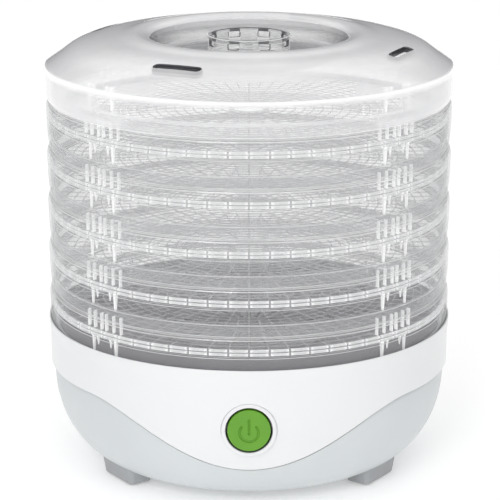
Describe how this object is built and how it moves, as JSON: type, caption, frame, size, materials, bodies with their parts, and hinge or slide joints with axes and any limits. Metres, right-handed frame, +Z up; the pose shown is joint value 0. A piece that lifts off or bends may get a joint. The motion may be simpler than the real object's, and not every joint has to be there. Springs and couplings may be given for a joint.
{
  "type": "food dehydrator",
  "caption": "Round stacking food dehydrator with clear lift-off trays and lid, vent dial, fan heater base and push button.",
  "frame": {"origin": "centre of the plane that the rubber feet stand on", "axes": "+Z up along the stack, front with the button at -Y, +X to the right seen from the front"},
  "size_m": [0.3266, 0.3266, 0.353],
  "materials": {
    "clear_plastic": "clear, polished",
    "housing_white": "satin gloss",
    "housing_pale_grey": "satin gloss",
    "bezel_white": "satin gloss",
    "button_green": "gloss",
    "deck_dark": "matt, heat proof",
    "foot_grey": "matt",
    "pad_rubber": "matt",
    "motor_steel": "laminated",
    "steel": "plated",
    "bronze": "sintered",
    "copper": "enamelled winding",
    "fan_plastic": "matt",
    "duct_metal": "bright sheet",
    "mica": "matt",
    "heater_wire": "oxidised",
    "terminal_plastic": "matt",
    "gland_rubber": "matt",
    "lead_insulation": "silicone"
  },
  "bodies": {
    "base": {"motor_stator": "motor_steel", "motor_coil": "copper", "motor_bracket_top": "steel", "motor_bracket_bottom": "steel", "motor_bush_top": "bronze", "motor_bush_bottom": "bronze", "motor_screws": "steel", "air_duct": "duct_metal", "heater_frame": "mica", "heater_coil": "heater_wire", "thermostat": "duct_metal", "thermal_fuse": "steel", "terminal_block": "terminal_plastic", "cord_gland": "gland_rubber", "gland_nut": "terminal_plastic", "lead_supply": "lead_insulation", "lead_motor": "lead_insulation", "lead_heater": "lead_insulation", "lead_switch": "lead_insulation", "base_upper_housing": "housing_white", "base_lower_housing": "housing_pale_grey", "bottom_cover": "housing_pale_grey", "cover_screws": "steel", "deck_plate": "deck_dark", "housing_screws": "steel", "button_bezel": "bezel_white", "button_spring": "steel", "switch_body": "terminal_plastic", "foot_front_left": "foot_grey", "foot_pad_front_left": "pad_rubber", "foot_front_right": "foot_grey", "foot_pad_front_right": "pad_rubber", "foot_rear_right": "foot_grey", "foot_pad_rear_right": "pad_rubber", "foot_rear_left": "foot_grey", "foot_pad_rear_left": "pad_rubber"},
    "button": {"button_cap": "button_green", "switch_plunger": "terminal_plastic"},
    "fan": {"fan_impeller": "fan_plastic", "fan_clip": "steel", "motor_rotor": "motor_steel", "motor_shaft": "steel"},
    "tray_5": {"tray_5_wall": "clear_plastic", "tray_5_grid": "clear_plastic"},
    "tray_4": {"tray_4_wall": "clear_plastic", "tray_4_grid": "clear_plastic"},
    "tray_3": {"tray_3_wall": "clear_plastic", "tray_3_grid": "clear_plastic"},
    "tray_2": {"tray_2_wall": "clear_plastic", "tray_2_grid": "clear_plastic"},
    "tray_1": {"tray_1_wall": "clear_plastic", "tray_1_grid": "clear_plastic"},
    "lid": {"lid": "clear_plastic", "dial_clip": "steel"},
    "dial": {"vent_dial": "clear_plastic"}
  },
  "joints": [
    {"name": "tray_5_lift", "type": "slide", "parent": "base", "child": "tray_5", "axis": [0, 0, 1], "range_m": [0, 0.06]},
    {"name": "tray_4_lift", "type": "slide", "parent": "tray_5", "child": "tray_4", "axis": [0, 0, 1], "range_m": [0, 0.06]},
    {"name": "tray_3_lift", "type": "slide", "parent": "tray_4", "child": "tray_3", "axis": [0, 0, 1], "range_m": [0, 0.06]},
    {"name": "tray_2_lift", "type": "slide", "parent": "tray_3", "child": "tray_2", "axis": [0, 0, 1], "range_m": [0, 0.06]},
    {"name": "tray_1_lift", "type": "slide", "parent": "tray_2", "child": "tray_1", "axis": [0, 0, 1], "range_m": [0, 0.06]},
    {"name": "lid_lift", "type": "slide", "parent": "tray_1", "child": "lid", "axis": [0, 0, 1], "range_m": [0, 0.07]},
    {"name": "vent_dial_turn", "type": "hinge", "parent": "lid", "child": "dial", "pos_m": [0, 0, 0.3345], "axis": [0, 0, 1], "range_deg": [0, 45]},
    {"name": "button_press", "type": "slide", "parent": "base", "child": "button", "axis": [0, 1, 0], "range_m": [0, 0.0025], "stiffness_N_per_m": 800, "deforming": ["button_spring"]},
    {"name": "fan_spin", "type": "hinge", "parent": "base", "child": "fan", "pos_m": [0, 0, 0.036], "axis": [0, 0, 1], "continuous": true}
  ]
}
